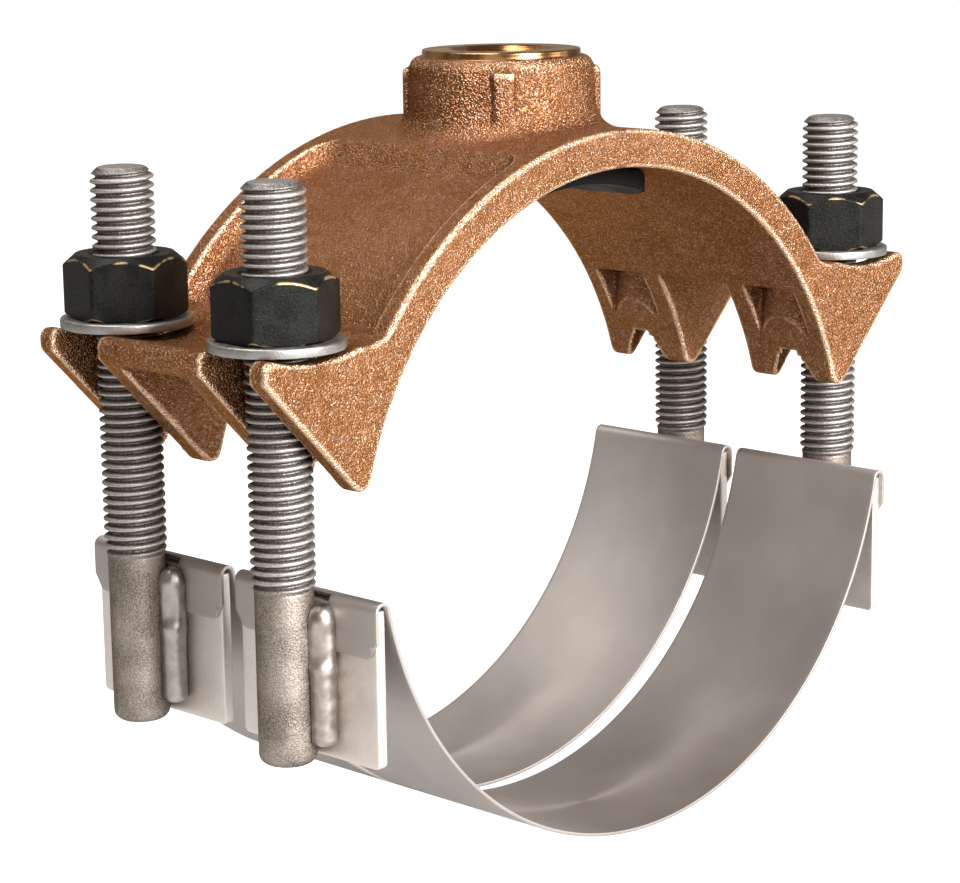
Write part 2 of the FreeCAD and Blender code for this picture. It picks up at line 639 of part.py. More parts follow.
# Washer: a flat plated steel washer with a softened outer edge.
def make_washer(name, side, band):
    body = new_body(name)
    body.setExpression("Placement.Base.x", f"{side} * ({STUD_X})")
    body.setExpression("Placement.Base.y", f"{band} * {STUD_Y}")
    body.setExpression("Placement.Base.z", WASHER_SEAT)
    sketch = new_sketch(body, "profile", "XY_Plane")
    circle(sketch, "size.washer_radius")
    circle(sketch, "size.washer_hole")
    feature(body, "Pad", "disc", sketch, Length="size.washer_thick")
    rim = measure("size.washer_radius")
    dress(body, "Chamfer", "rim", lambda p, d, e: near(math.hypot(p.x, p.y), rim),
          "size.washer_edge")
    return body


# Nut: a heavy hexagon nut, chamfered on its upper face, with a plain bore for the thread.
def make_nut(name, side, band, turn):
    body = new_body(name)
    body.Placement = Placement(Vector(0, 0, 0), Rotation(Z_AXIS, turn))
    body.setExpression("Placement.Base.x", f"{side} * ({STUD_X})")
    body.setExpression("Placement.Base.y", f"{band} * {STUD_Y}")
    body.setExpression("Placement.Base.z", NUT_SEAT)
    corner = "size.nut_width / sqrt(3)"
    sketch = new_sketch(body, "hexagon", "XY_Plane")
    outline(sketch, [
        (corner, "0"), (f"{corner} / 2", "size.nut_width / 2"),
        (f"-{corner} / 2", "size.nut_width / 2"), (f"-{corner}", "0"),
        (f"-{corner} / 2", "-size.nut_width / 2"), (f"{corner} / 2", "-size.nut_width / 2"),
    ])
    feature(body, "Pad", "block", sketch, Length="size.nut_height")
    slope = f"({corner} - size.nut_face / 2)"
    ring = new_sketch(body, "chamfer_profile", "XZ_Plane")
    outline(ring, [
        ("size.nut_face / 2", "size.nut_height"),
        (f"{corner} + {slope}", "size.nut_height - 2 * size.nut_chamfer"),
        (f"{corner} + {slope}", "size.nut_height + size.cut_past"),
        ("size.nut_face / 2", "size.nut_height + size.cut_past"),
    ])
    revolve(body, "Groove", "chamfer", ring)
    bore_sketch = new_sketch(body, "bore_profile", "XY_Plane")
    circle(bore_sketch, "size.stud_radius + size.thread_fit")
    bore = feature(body, "Pocket", "bore", bore_sketch)
    bore.Type = "ThroughAll"
    bore.Reversed = True
    return body


pieces = [make_saddle_body(), make_outlet_gasket()]
for band_name, band in BANDS:
    pieces.append(make_strap(f"{band_name}_strap", band))
    for side_name, side in SIDES:
        place = f"{band_name}_{side_name}"
        pieces.append(make_lug(f"{place}_lug", side, band))
        pieces.append(make_stud(f"{place}_stud", side, band))
        pieces.append(make_weld(f"{place}_weld", side, band))
        pieces.append(make_washer(f"{place}_washer", side, band))
        pieces.append(make_nut(f"{place}_nut", side, band, NUT_TURNS[place]))
doc.recompute()

for item in doc.Objects:
    if "Invalid" in item.State or "Error" in item.State:
        raise RuntimeError(f"{item.Name} failed: {item.State}")
for piece in pieces:
    if piece.Shape.isNull() or not piece.Shape.isValid():
        raise RuntimeError(f"{piece.Label} has no valid shape")

os.makedirs("parts", exist_ok=True)
for piece in pieces:
    piece.Shape.exportStep(f"parts/{piece.Label}.step")
    box = piece.Shape.BoundBox
    print(f"{piece.Label}: {len(piece.Shape.Solids)} solid(s), {piece.Shape.Volume:.0f} mm3, "
          f"z {box.ZMin:.2f} to {box.ZMax:.2f}")
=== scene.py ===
import bmesh
import bpy
import math
import numpy as np
from mathutils import Matrix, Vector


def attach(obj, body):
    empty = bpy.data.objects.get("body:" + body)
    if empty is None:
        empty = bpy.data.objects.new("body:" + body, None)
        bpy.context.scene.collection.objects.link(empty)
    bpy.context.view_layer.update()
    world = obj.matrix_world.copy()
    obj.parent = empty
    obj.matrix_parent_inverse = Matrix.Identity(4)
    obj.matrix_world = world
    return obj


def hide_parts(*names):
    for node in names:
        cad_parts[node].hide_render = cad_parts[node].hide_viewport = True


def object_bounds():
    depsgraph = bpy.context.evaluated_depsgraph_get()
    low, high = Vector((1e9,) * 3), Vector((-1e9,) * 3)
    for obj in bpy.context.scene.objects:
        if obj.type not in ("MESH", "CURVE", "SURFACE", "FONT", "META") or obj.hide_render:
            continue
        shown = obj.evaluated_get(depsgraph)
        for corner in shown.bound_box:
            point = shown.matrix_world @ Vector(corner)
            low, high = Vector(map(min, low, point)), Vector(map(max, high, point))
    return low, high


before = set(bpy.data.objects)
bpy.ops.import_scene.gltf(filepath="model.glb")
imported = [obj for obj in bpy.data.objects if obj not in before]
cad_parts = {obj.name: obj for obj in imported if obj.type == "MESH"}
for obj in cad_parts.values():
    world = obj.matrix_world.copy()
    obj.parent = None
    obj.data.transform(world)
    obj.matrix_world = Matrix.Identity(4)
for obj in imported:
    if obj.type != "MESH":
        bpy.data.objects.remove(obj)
cad_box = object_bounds()

# ---- The saddle casting ----
# One bronze sand casting that sits on the pipe. Its skin is left as it came from the sand, with
# a fine grain and edges rounded by the mould and the tumbling. Its colour also carries painted
# light: pale grains as painted glints, painted shade between the grains and in hollow corners,
# and outer edges whose lighter colour is part wear and part painted highlight.

# Sizes in every section are millimetres, angles without a unit are radians, and colours are
# linear red, green and blue.
MM = 0.001
SAME_POINT = 0.0005
CAST_VOXEL = 0.55
CAST_ROUNDS = 5
CAST_FACES = 186000
FACE_RADIUS = 21.1
FACE_TOP = 118.85
FACE_FOOT = 117.05
FACE_UNDER = 0.4
FACE_BESIDE = 1.0
FACE_SINK = 0.1
OUTLET_RADIUS = 12.7
OUTLET_BESIDE = 1.2
OUTLET_ROOM = 0.5
OUTLET_LOW = 88.0
RIDGE_REACH = 0.1
RIDGE_GAIN = 1.6
BRONZE_DARK = (0.300, 0.126, 0.048)
BRONZE_LIGHT = (0.450, 0.210, 0.102)
# The next four colours are painted glints, painted shade between the grains, edges that are part
# wear and part painted highlight, and painted shade in hollow corners.
BRONZE_SPARK = (0.94, 0.72, 0.58)
BRONZE_PIT = (0.085, 0.032, 0.010)
BRONZE_RUBBED = (0.84, 0.58, 0.40)
BRONZE_DUST = (0.055, 0.020, 0.006)


class Flow:
    """One output of a shader node. Arithmetic on it adds Math nodes to the same material."""

    def __init__(self, tree, socket=None):
        self.tree = tree
        self.socket = socket

    def node(self, kind, settings=None, inputs=None, output=0):
        """Adds a node, sets it up, fills or links its sockets, and gives one of its outputs."""
        made = self.tree.nodes.new("ShaderNode" + kind)
        for name, value in (settings or {}).items():
            setattr(made, name, value)
        for name, value in (inputs or {}).items():
            if isinstance(value, Flow):
                self.tree.links.new(value.socket, made.inputs[name])
            else:
                made.inputs[name].default_value = value
        return Flow(self.tree, made.outputs[output])

    def maths(self, operation, first, second):
        """The result of one Math node on two values, of which one or both are flows."""
        return self.node("Math", {"operation": operation}, {0: first, 1: second})

    def __add__(self, other):
        return self.maths("ADD", self, other)

    def __radd__(self, other):
        return self.maths("ADD", other, self)

    def __sub__(self, other):
        return self.maths("SUBTRACT", self, other)

    def __rsub__(self, other):
        return self.maths("SUBTRACT", other, self)

    def __mul__(self, other):
        return self.maths("MULTIPLY", self, other)

    def __rmul__(self, other):
        return self.maths("MULTIPLY", other, self)

    def clear(self, low, high, start=0.0, end=1.0):
        """Eases from start to end while this value goes from low to high."""
        return self.node("MapRange", {"interpolation_type": "SMOOTHSTEP"},
                         {"Value": self, "From Min": low, "From Max": high,
                          "To Min": start, "To Max": end})

    def tint(self, first, second):
        """Mixes two colours, each three numbers or a flow: the first one where this value is 0,
        the second one where it is 1. Sockets 6, 7 and 2 are the Mix node's colour sockets."""
        first, second = (colour if isinstance(colour, Flow) else (*colour, 1.0)
                         for colour in (first, second))
        return self.node("Mix", {"data_type": "RGBA", "clamp_factor": True},
                         {0: self, 6: first, 7: second}, 2)

    def noise(self, size, detail=2.0, roughness=0.5):
        """Cloudy noise on this vector, whose patches are about size millimetres."""
        return self.node("TexNoise", None, {"Vector": self, "Scale": 1.0 / size,
                                            "Detail": detail, "Roughness": roughness})

    def cells(self, size, output="Distance"):
        """Grains of about size millimetres on this vector: how far from a grain's middle a
        point is, or a colour of the grain's own."""
        return self.node("TexVoronoi", None, {"Vector": self, "Scale": 1.0 / size}, output)

    def stretch(self, x, y, z):
        """This vector, with each axis scaled."""
        return self.node("VectorMath", {"operation": "MULTIPLY"}, {0: self, 1: (x, y, z)})

    def attribute(self, name):
        """A number that the mesh carries at each of its points."""
        return self.node("Attribute", {"attribute_name": name}, None, "Fac")

    def ray(self, kind):
        """1 for a ray of this kind, such as Camera, and 0 for the others."""
        return self.node("LightPath", None, None, f"Is {kind} Ray")

    def bump(self, height, depth, strength=1.0):
        """A relief of depth millimetres, for a height from 0 to 1."""
        return self.node("Bump", None, {"Height": height, "Distance": depth * MM,
                                        "Strength": strength})


def finish(name, **fixed):
    """A new material. Gives the material, its shader and the millimetre coordinates."""
    material = bpy.data.materials.new(name)
    material.use_nodes = True
    tree = material.node_tree
    shader = tree.nodes["Principled BSDF"]
    for socket, value in fixed.items():
        shader.inputs[socket.replace("_", " ")].default_value = value
    place = Flow(tree).node("TexCoord", None, None, "Object").stretch(1 / MM, 1 / MM, 1 / MM)
    return material, shader, place


def wire(shader, **sockets):
    """Links flows to the sockets of a shader. An underscore stands for a space in a name."""
    for socket, flow in sockets.items():
        flow.tree.links.new(flow.socket, shader.inputs[socket.replace("_", " ")])


def place_piece(name, mesh, material, body, slot, *nodes):
    """Puts a finished mesh on a body of the object, in place of the CAD nodes."""
    piece = bpy.data.objects.new(name, mesh)
    bpy.context.scene.collection.objects.link(piece)
    mesh.materials.clear()
    mesh.materials.append(material)
    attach(piece, body)
    if nodes:
        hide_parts(*nodes)


def merged(mesh, distance=SAME_POINT, outwards=True):
    """Joins the points that lie within a distance of each other, drops the faces that have no
    area left, and turns the others outwards."""
    work = bmesh.new()
    work.from_mesh(mesh)
    bmesh.ops.remove_doubles(work, verts=work.verts[:], dist=distance * MM)
    bmesh.ops.dissolve_degenerate(work, edges=work.edges[:], dist=distance * MM)
    if outwards:
        bmesh.ops.recalc_face_normals(work, faces=work.faces[:])
    work.to_mesh(mesh)
    work.free()
    return mesh


def modified(mesh, *modifiers):
    """The mesh that comes out of these modifiers, each a type and its settings."""
    carrier = bpy.data.objects.new("carrier", mesh)
    bpy.context.scene.collection.objects.link(carrier)
    for kind, settings in modifiers:
        modifier = carrier.modifiers.new(kind, kind)
        for name, value in settings.items():
            setattr(modifier, name, value)
    result = bpy.data.meshes.new_from_object(
        carrier.evaluated_get(bpy.context.evaluated_depsgraph_get()))
    bpy.data.objects.remove(carrier)
    result.shade_smooth()
    return result


def moulded(node, voxel, rounds):
    """A CAD node's surface, remade from cubes of voxel millimetres and evened out in a few
    rounds, each of which moves a point half-way to its neighbours. That rounds every edge."""
    solid = merged(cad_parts[node].data.copy(), outwards=False)
    if solid.has_custom_normals:
        solid.attributes.remove(solid.attributes["custom_normal"])
    return modified(solid, ("REMESH", {"mode": "VOXEL", "voxel_size": voxel * MM}),
                    ("SMOOTH", {"factor": 0.5, "iterations": rounds}))


def points_of(mesh):
    """The mesh's points in millimetres."""
    points = np.empty(len(mesh.vertices) * 3)
    mesh.vertices.foreach_get("co", points)
    return points.reshape(-1, 3) / MM


def move_points(mesh, points):
    """Puts the mesh's points at these places, given in millimetres."""
    mesh.vertices.foreach_set("co", (points * MM).ravel())
    mesh.update()


def store(mesh, name, values):
    """Writes one number for each point of the mesh."""
    mesh.attributes.new(name, "FLOAT", "POINT").data.foreach_set(
        "value", np.asarray(values, dtype=np.float32).ravel())


def ridges(mesh, rounds=2):
    """How sharply the surface stands out at each point, from -1 in a hollow corner to 1 on an
    outer edge: how far the point lies above its neighbours' mean, along its normal, over the
    square of their distance, times a gain. A few rounds then average it with the neighbours."""
    points = points_of(mesh)
    normals = np.empty(len(points) * 3)
    mesh.vertices.foreach_get("normal", normals)
    normals = normals.reshape(-1, 3)
    ends = np.empty(len(mesh.edges) * 2, dtype=np.int32)
    mesh.edges.foreach_get("vertices", ends)
    ends = ends.reshape(-1, 2)
    count = np.maximum(np.bincount(ends.ravel(), minlength=len(points)), 1)

    def gathered(values):
        """The mean of the values at each point's neighbours."""
        first = np.bincount(ends[:, 0], values[ends[:, 1]], len(points))
        second = np.bincount(ends[:, 1], values[ends[:, 0]], len(points))
        return (first + second) / count

    around = np.stack([gathered(points[:, axis]) for axis in range(3)], -1)
    spacing = np.linalg.norm(points[ends[:, 0]] - points[ends[:, 1]], axis=1)
    reach = (np.bincount(ends[:, 0], spacing, len(points))
             + np.bincount(ends[:, 1], spacing, len(points))) / count
    stand = -((around - points) * normals).sum(1) / np.maximum(reach, RIDGE_REACH) ** 2
    for _ in range(rounds):
        stand = (stand + gathered(stand)) / 2
    return np.clip(stand * RIDGE_GAIN, -1, 1)


skin = moulded("saddle_body", CAST_VOXEL, CAST_ROUNDS)
# The remade skin has square faces, so each of them counts as two triangles.
share = min(1.0, CAST_FACES / (2 * len(skin.polygons)))
skin = modified(skin, ("TRIANGULATE", {}), ("DECIMATE", {"ratio": share}))

# The skin ends just under the turned face and just outside the tapped bore, which are cut
# surfaces with a mesh of their own.
cast_points = points_of(skin)
out = np.hypot(cast_points[:, 0], cast_points[:, 1])
on_face = (cast_points[:, 2] > FACE_FOOT - FACE_UNDER) & (out < FACE_RADIUS + FACE_BESIDE)
cast_points[on_face, 2] = np.minimum(cast_points[on_face, 2], FACE_FOOT - FACE_SINK)
in_bore = (out < OUTLET_RADIUS + OUTLET_BESIDE) & (cast_points[:, 2] > OUTLET_LOW)
push = np.where(in_bore, np.maximum(OUTLET_RADIUS + OUTLET_ROOM - out, 0) / out, 0)
cast_points[:, :2] *= 1 + push[:, None]
move_points(skin, cast_points)
store(skin, "ridge", ridges(skin))

bronze, shader, place = finish("cast_bronze_skin", Metallic=0.95,
                               Specular_Tint=(0.62, 0.42, 0.26, 1))
ridge = place.attribute("ridge")
# Outer edges get a lighter colour that is part wear and part painted highlight.
rubbed = ridge.clear(0.07, 0.32)
# Hollow corners are painted dark as shade.
dusty = ridge.clear(-0.06, -0.36)
mottle = place.noise(4.0, 4.0)
wash = (place.noise(30.0, 3.0) * 0.5 + mottle * 0.5).clear(0.36, 0.66)
# A share of the grains gets a pale colour as painted glints.
spark = place.node("SeparateColor", None, {"Color": place.cells(0.5, "Color")})
bright = spark.clear(0.55, 0.98)
sand = place.cells(0.52).clear(0.0, 0.7, 1.0, 0.0)
colour = (bright * 0.40).tint(wash.tint(BRONZE_DARK, BRONZE_LIGHT), BRONZE_SPARK)
# Between the grains the colour is painted darker, as shade in the crevices.
colour = (0.66 - sand * 0.66).tint(colour, BRONZE_PIT)
colour = (rubbed * 0.6).tint(colour, BRONZE_RUBBED)
colour = (dusty * 0.65).tint(colour, BRONZE_DUST)
relief = sand * 0.8 + place.noise(0.5, 3.0) * 0.9 + place.noise(2.4, 2.0) * 0.35
wire(shader, Base_Color=colour,
     Roughness=0.36 - rubbed * 0.04 - bright * 0.08 + mottle * 0.05,
     Normal=place.bump(relief, 0.32))
place_piece("saddle_casting", skin, bronze, "saddle", "cast_bronze", "saddle_body")

# ---- The machined outlet ----
# The boss's mouth is turned flat and tapped for the service pipe. It is the only cut surface on
# the casting, so it shines, with the cutter's fine rings round the outlet's axis.

OUTLET_PITCH = 1.814
OUTLET_CREST = 11.85
OUTLET_ROOT = 12.66
OUTLET_FOOT = 91.2
OUTLET_RUN = 2.0
OUTLET_THREAD_END = FACE_TOP - 2.2
OUTLET_COLUMNS = 120
OUTLET_PARTS = 10
MOUTH_FOOT = FACE_TOP - 1.9
MOUTH_CHAMFER = OUTLET_RADIUS + 1.4
SLEEVE = OUTLET_ROOT + 0.9
THREAD_CREST = 0.12
THREAD_ROOT = 0.07
THREAD_ROUNDING = 0.45
TURNED_DARK = (0.17, 0.080, 0.028)
TURNED_LIGHT = (0.46, 0.27, 0.12)


def eased(share):
    """Rises from 0 to 1 with no corner at either end: three times the share's square, less
    twice its cube."""
    return share * share * (3 - 2 * share)


def grid_mesh(name, points, shift=0):
    """A mesh with one face between each two rows and columns of a grid of points, given in
    millimetres. The last column is joined to the first one, shift rows further up."""
    rows, columns = points.shape[:2]
    index = np.arange(rows * columns).reshape(rows, columns)
    index = np.hstack([index, index[np.minimum(np.arange(rows) + shift, rows - 1), :1]])
    faces = np.stack([index[:-1, :-1], index[:-1, 1:], index[1:, 1:], index[1:, :-1]], -1)
    mesh = bpy.data.meshes.new(name)
    mesh.from_pydata((points.reshape(-1, 3) * MM).tolist(), [], faces.reshape(-1, 4).tolist())
    return mesh


def joined_grids(name, *grids):
    """One mesh from several grids with the same columns, each a grid and its wrap's shift."""
    work = bmesh.new()
    for points, shift in grids:
        part = grid_mesh(name, points, shift)
        work.from_mesh(part)
        bpy.data.meshes.remove(part)
    mesh = bpy.data.meshes.new(name)
    work.to_mesh(mesh)
    work.free()
    return merged(mesh)


def turned(profile, columns):
    """A profile carried once round the Z axis: row i lies at the radius and the height of the
    profile's pair i, and column j is turned by j parts of a whole turn."""
    radius, height = np.asarray(profile, dtype=float).T[:, :, None]
    angle = np.arange(columns) / columns * 2 * math.pi
    return np.stack([radius * np.cos(angle), radius * np.sin(angle), height + 0 * angle], -1)


def threaded(low, high, pitch, radius, columns, parts):
    """Rows that follow a right-hand thread. A row rises one pitch in a turn, and parts rows
    divide a pitch. Heights stay between low and high, where the rows gather into a ring.
    radius is a function of the share of the pitch and of the height."""
    rows = np.arange(int(((high - low) / pitch + 2) * parts) + 1)[:, None]
    turn = np.arange(columns)[None, :] / columns
    height = np.clip(low + (rows / parts + turn - 1) * pitch, low, high)
    size = radius(rows / parts % 1 + 0 * turn, height)
    angle = turn * 2 * math.pi
    return np.stack([size * np.cos(angle), size * np.sin(angle), height], -1)


def thread_depth(share):
    """How deep a thread's surface is at a share of its pitch: 0 on the crest at 0, 1 in the
    root at a half, and between them a straight flank mixed with an eased one."""
    away = np.abs((share + 0.5) % 1 - 0.5)
    flank = np.clip((away - THREAD_CREST) / (0.5 - THREAD_CREST - THREAD_ROOT), 0, 1)
    return (1 - THREAD_ROUNDING) * flank + THREAD_ROUNDING * eased(flank)


def outlet_radius(share, height):
    """The tapped bore: the root's radius, less thread ridges that fade out at both ends."""
    fade = (np.clip((height - OUTLET_FOOT) / OUTLET_RUN, 0, 1)
            * np.clip(OUTLET_THREAD_END - height, 0, 1))
    return OUTLET_ROOT - (1 - thread_depth(share)) * (OUTLET_ROOT - OUTLET_CREST) * fade


bore = threaded(OUTLET_FOOT, MOUTH_FOOT, OUTLET_PITCH, outlet_radius, OUTLET_COLUMNS,
                OUTLET_PARTS)
mouth = turned([
    # The chamfer, from the thread's end to the flat face.
    (OUTLET_ROOT, MOUTH_FOOT), (OUTLET_ROOT + 0.1, MOUTH_FOOT + 0.15),
    (MOUTH_CHAMFER - 0.15, FACE_TOP - 0.2), (MOUTH_CHAMFER + 0.1, FACE_TOP - 0.06),
    # The flat face and its softened rim.
    (MOUTH_CHAMFER + 0.4, FACE_TOP), (16.5, FACE_TOP), (18.5, FACE_TOP),
    (FACE_RADIUS - 0.55, FACE_TOP), (FACE_RADIUS - 0.2, FACE_TOP - 0.08),
    (FACE_RADIUS - 0.02, FACE_TOP - 0.35), (FACE_RADIUS, FACE_TOP - 0.8),
    # The side of the face, flared a little where it meets the cast skin.
    (FACE_RADIUS, FACE_FOOT + 0.25), (FACE_RADIUS + 0.25, FACE_FOOT - 0.1),
    # Back under the face and down round the bore, out of sight in the casting.
    (FACE_RADIUS - 1.2, FACE_FOOT - 0.25), (OUTLET_ROOT + 2.5, FACE_FOOT - 0.35),
    (SLEEVE, FACE_FOOT - 1.5), (SLEEVE, OUTLET_FOOT), (OUTLET_ROOT, OUTLET_FOOT),
], OUTLET_COLUMNS)
outlet = joined_grids("outlet_face", (bore, OUTLET_PARTS), (mouth, 0))
outlet = modified(outlet, ("EDGE_SPLIT", {"split_angle": math.radians(50)}))

turned_bronze, shader, place = finish("turned_bronze", Metallic=1.0)
rings = place.node("TexWave", {"wave_type": "RINGS", "rings_direction": "Z"},
                   {"Vector": place, "Scale": 0.9, "Distortion": 0.6, "Detail": 2.0})
patina = place.noise(7.0, 3.0).clear(0.35, 0.7)
wire(shader, Base_Color=patina.tint(TURNED_DARK, TURNED_LIGHT),
     Roughness=0.18 + patina * 0.14 + rings * 0.05,
     Normal=place.bump(rings, 0.02, 0.6))
place_piece("outlet_face", outlet, turned_bronze, "saddle", "cast_bronze")

# ---- The gasket ----
# A moulded mat of black rubber under the crown, held against the arch by its own curve. It is
# dull and nearly without shine, and its edge shows below the front rim.

GASKET_VOXEL = 0.7
GASKET_ROUNDS = 4
RUBBER_DARK = (0.0025, 0.0025, 0.0020)
RUBBER_BLOOM = (0.0050, 0.0046, 0.0038)

gasket = moulded("outlet_gasket", GASKET_VOXEL, GASKET_ROUNDS)
rubber, shader, place = finish("gasket_rubber_skin", Metallic=0.0, Specular_IOR_Level=0.07)
bloom = place.noise(14.0, 3.0).clear(0.35, 0.7)
wire(shader, Base_Color=bloom.tint(RUBBER_DARK, RUBBER_BLOOM),
     Roughness=0.50 + bloom * 0.18,
     Normal=place.bump(place.noise(0.9, 3.0), 0.06, 0.5))
place_piece("gasket_mat", gasket, rubber, "saddle", "gasket_rubber", "outlet_gasket")

# ---- The straps ----
# Two bands of satin stainless sheet, 0.9 mm thick. Each hangs in a free curve, is folded over
# its two lug plates, and has a flap down their outer faces that is notched round the stud.

STRAP_AXIS = 13.95
STRAP_MIDDLE = 98.725
STRAP_THICK = 0.9
STRAP_HALF = 25.4
STRAP_EDGE = 0.16
STRAP_STEP = 1.6
BAND_Y = 28.0
FOLD_X = 98.5
FOLD_Z = -6.99
FOLD_MIDDLE = 1.95
FOLD_LEAN = 0.213
FOLD_PARTS = 15
FLAP_FOOT = -18.63
FLAP_PARTS = 14
FLAP_CUT_WIDE = 2.9
FLAP_CUT_HIGH = 4.4
NOTCH_HALF = 8.8
NOTCH_X = 99.6
NOTCH_PARTS = 13
SHEET_JOIN = 0.02
STRAP_DARK = (0.365, 0.330, 0.304)
STRAP_LIGHT = (0.405, 0.368, 0.341)


def arc_points(x, z, radius, angle):
    """Points (x, z) on a circle round a middle, at these angles from the X axis."""
    return np.stack([x + radius * np.cos(angle), z + radius * np.sin(angle)], -1)


def strap_path():
    """The strap's middle line in X and Z. Its right half runs from the lowest point along the
    free curve, an arc, to where it leans away from upright, then round the fold's half circle
    and straight down the flap. The left half is its mirror image, put before it."""
    lean = math.acos((FOLD_X - FOLD_MIDDLE * math.cos(FOLD_LEAN)) / STRAP_MIDDLE)
    parts = int(STRAP_MIDDLE * (math.pi / 2 - lean) / STRAP_STEP)
    curve = np.linspace(-math.pi / 2, -lean, parts)
    bend = np.linspace(math.pi - FOLD_LEAN, 0.0, FOLD_PARTS)[1:]
    drop = np.linspace(FOLD_Z, FLAP_FOOT, FLAP_PARTS)[1:]
    half = np.concatenate([arc_points(0, STRAP_AXIS, STRAP_MIDDLE, curve),
                           arc_points(FOLD_X, FOLD_Z, FOLD_MIDDLE, bend),
                           np.stack([0 * drop + FOLD_X + FOLD_MIDDLE, drop], -1)])
    return np.concatenate([half[:0:-1] * (-1, 1), half])


def strap_mesh(name, middle):
    """The path carried along Y across the strap's width. The faces in the two notches are left
    out, and each flap's lower corners slide up so that they are cut across. The sheet then
    gets its thickness, half to each side, and its edges are broken."""
    path = strap_path()
    across = np.concatenate([np.linspace(-STRAP_HALF, -NOTCH_HALF, NOTCH_PARTS + 1),
                             np.linspace(-NOTCH_HALF, NOTCH_HALF, NOTCH_PARTS)[1:-1],
                             np.linspace(NOTCH_HALF, STRAP_HALF, NOTCH_PARTS + 1)])
    points = np.empty((len(path), len(across), 3))
    points[..., 0] = path[:, None, 0]
    points[..., 1] = across + middle
    points[..., 2] = path[:, None, 1]
    flap = np.abs(path[:, 0]) > FOLD_X + FOLD_MIDDLE / 4
    corner = np.clip((FLAP_CUT_WIDE - (STRAP_HALF - np.abs(across))) / FLAP_CUT_WIDE, 0, 1)
    lowest = FLAP_FOOT + corner * FLAP_CUT_HIGH
    points[flap, :, 2] = np.maximum(points[flap, :, 2], lowest)
    rows, columns = points.shape[:2]
    index = np.arange(rows * columns).reshape(rows, columns)
    faces = np.stack([index[:-1, :-1], index[1:, :-1], index[1:, 1:], index[:-1, 1:]], -1)
    face_x = np.abs(path[:-1, 0] + path[1:, 0]) / 2
    face_y = np.abs(across[:-1] + across[1:]) / 2
    kept = ~((face_x[:, None] > NOTCH_X) & (face_y < NOTCH_HALF))
    mesh = bpy.data.meshes.new(name)
    mesh.from_pydata((points.reshape(-1, 3) * MM).tolist(), [], faces[kept].tolist())
    return modified(merged(mesh, SHEET_JOIN, outwards=False),
                    ("SOLIDIFY", {"thickness": STRAP_THICK * MM, "offset": 0.0,
                                  "use_even_offset": True}),
                    ("BEVEL", {"width": STRAP_EDGE * MM, "segments": 2,
                               "limit_method": "ANGLE", "angle_limit": math.radians(60),
                               "use_clamp_overlap": True}))


stainless, shader, place = finish("satin_stainless", Metallic=1.0, Anisotropic=0.25)
roll = place.stretch(0.02, 1.0, 0.02).noise(0.45, 2.0)
haze = place.noise(38.0, 2.0).clear(0.3, 0.7)
smear = place.noise(9.0, 3.0).clear(0.35, 0.75)
wire(shader, Base_Color=(haze * 0.6 + smear * 0.4).tint(STRAP_DARK, STRAP_LIGHT),
     Roughness=0.52 + haze * 0.05 + roll * 0.08,
     Normal=place.bump(roll * 0.7 + place.noise(1.4, 3.0) * 0.3, 0.012, 0.5))
for band, end in (("front", -1), ("rear", 1)):
    place_piece(band + "_band_strap", strap_mesh(band + "_band_strap", end * BAND_Y), stainless,
                band + "_band", "strap_steel", band + "_strap")

# ---- The lug plates ----
# Four flat stainless plates, one in each fold of the straps. They carry the studs' pull into
# the bands. Their edges are sheared and tumbled, so they are slightly rounded.

LUG_INSIDE = 97.0
LUG_THICK = 3.0
LUG_HALF = 24.4
LUG_HEAD = -6.83
LUG_FOOT = -46.13
LUG_EDGE = 0.45
LUG_EDGE_PARTS = 5
LUG_FOOT_CORNER = 1.6
LUG_HEAD_CORNER = 0.6
LUG_CORNER_PARTS = 7
LUG_RINGS = (0.0, 0.35, 0.7, 0.94)
LUG_DARK = (0.56, 0.505, 0.462)
LUG_LIGHT = (0.69, 0.635, 0.592)


def quarter_round(parts):
    """A quarter circle of radius 1 between two walls, as its points' distances from the wall
    that it ends on and from the wall that it starts on."""
    quarter = np.radians(np.linspace(0, 90, parts))
    return 1 - np.sin(quarter), 1 - np.cos(quarter)


def plate_outline():
    """The plate's rectangle with four rounded corners, as points (y, z), and the way outwards
    at each of them. Corner n is a quarter circle that starts n quarter turns further round."""
    points, normals = [], []
    for number, (side, up) in enumerate(((1, -1), (1, 1), (-1, 1), (-1, -1))):
        angle = np.radians(np.linspace(-90, 0, LUG_CORNER_PARTS) + 90 * number)
        normal = np.stack([np.cos(angle), np.sin(angle)], -1)
        end, radius = (LUG_HEAD, LUG_HEAD_CORNER) if up > 0 else (LUG_FOOT, LUG_FOOT_CORNER)
        points.append(np.array([side * (LUG_HALF - radius), end - up * radius])
                      + radius * normal)
        normals.append(normal)
    return np.concatenate(points), np.concatenate(normals)


def plate_mesh(name, way, middle):
    """A plate across X: its outline is carried from the middle of one face, over a quarter-round
    edge, across the thickness and over the other edge to the middle of the other face."""
    outline, normals = plate_outline()
    centre = outline.mean(0)
    flat = outline - normals * LUG_EDGE
    inset, depth = (LUG_EDGE * part for part in quarter_round(LUG_EDGE_PARTS))
    rings = [centre + (flat - centre) * shrink for shrink in LUG_RINGS]
    rings += [outline - normals * step for step in inset]
    depth = np.concatenate([[0] * len(LUG_RINGS), depth])
    # The far half of the plate mirrors the near half.
    rings, depth = rings + rings[::-1], np.concatenate([depth, LUG_THICK - depth[::-1]])
    points = np.stack([np.column_stack([0 * ring[:, 0] + x, ring])
                       for ring, x in zip(rings, depth)])
    points[..., 0] = way * (LUG_INSIDE + points[..., 0])
    points[..., 1] += middle
    return merged(grid_mesh(name, points))


